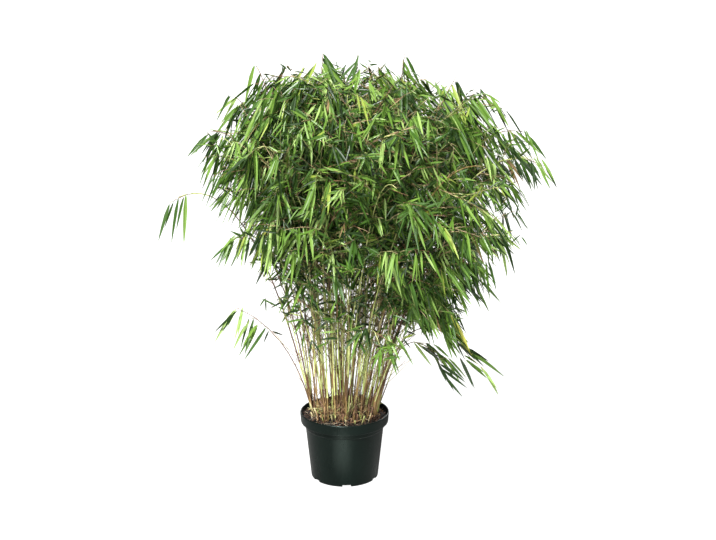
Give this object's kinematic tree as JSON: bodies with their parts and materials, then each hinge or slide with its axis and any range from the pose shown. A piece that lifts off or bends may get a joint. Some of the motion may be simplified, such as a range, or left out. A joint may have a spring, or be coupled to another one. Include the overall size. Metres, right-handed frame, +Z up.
{
  "type": "potted bamboo",
  "caption": "Clump-forming bamboo in a round black nursery pot: thin culms fan out of bark-covered soil and carry a broad crown of drooping sprays of narrow green leaves.",
  "frame": {"origin": "centre of the pot's flat underside, on the ground", "axes": "+Z up through the pot; the front of the plant faces -Y, and +X is to the viewer's right, where the crown reaches furthest"},
  "size_m": [1.1837, 0.9567, 1.3257],
  "materials": {
    "pot": "moulded dark green-black plastic, softly glossy",
    "mulch": "coarse bark chips and dry bamboo litter over dark compost",
    "culm": "smooth yellow-green canes with tan papery sheaths at the nodes",
    "foliage": "thin satin leaves, mid green with darker and yellower ones"
  },
  "bodies": {
    "root": {"pot": "pot", "soil": "mulch", "culm_01": "culm", "culm_02": "culm", "culm_03": "culm", "culm_04": "culm", "culm_05": "culm", "culm_06": "culm", "culm_07": "culm", "culm_08": "culm", "culm_09": "culm", "culm_10": "culm", "culm_11": "culm", "culm_12": "culm", "culm_13": "culm", "culm_14": "culm", "culm_15": "culm", "culm_16": "culm", "culm_17": "culm", "culm_18": "culm", "culm_19": "culm", "culm_20": "culm", "culm_21": "culm", "culm_22": "culm", "culm_23": "culm", "culm_24": "culm", "culm_25": "culm", "culm_26": "culm", "culm_27": "culm", "culm_28": "culm", "culm_29": "culm", "culm_30": "culm", "culm_31": "culm", "culm_32": "culm", "culm_33": "culm", "culm_34": "culm", "culm_35": "culm", "foliage_top_1": "foliage", "foliage_top_2": "foliage", "foliage_top_3": "foliage", "foliage_top_4": "foliage", "foliage_top_5": "foliage", "foliage_top_6": "foliage", "foliage_top_7": "foliage", "foliage_middle_1": "foliage", "foliage_middle_2": "foliage", "foliage_middle_3": "foliage", "foliage_middle_4": "foliage", "foliage_middle_5": "foliage", "foliage_middle_6": "foliage", "foliage_middle_7": "foliage", "foliage_low_1": "foliage", "foliage_low_2": "foliage", "foliage_low_3": "foliage", "foliage_low_4": "foliage", "foliage_low_5": "foliage", "foliage_low_6": "foliage", "foliage_low_7": "foliage", "foliage_low_8": "foliage", "foliage_low_9": "foliage"}
  },
  "joints": []
}
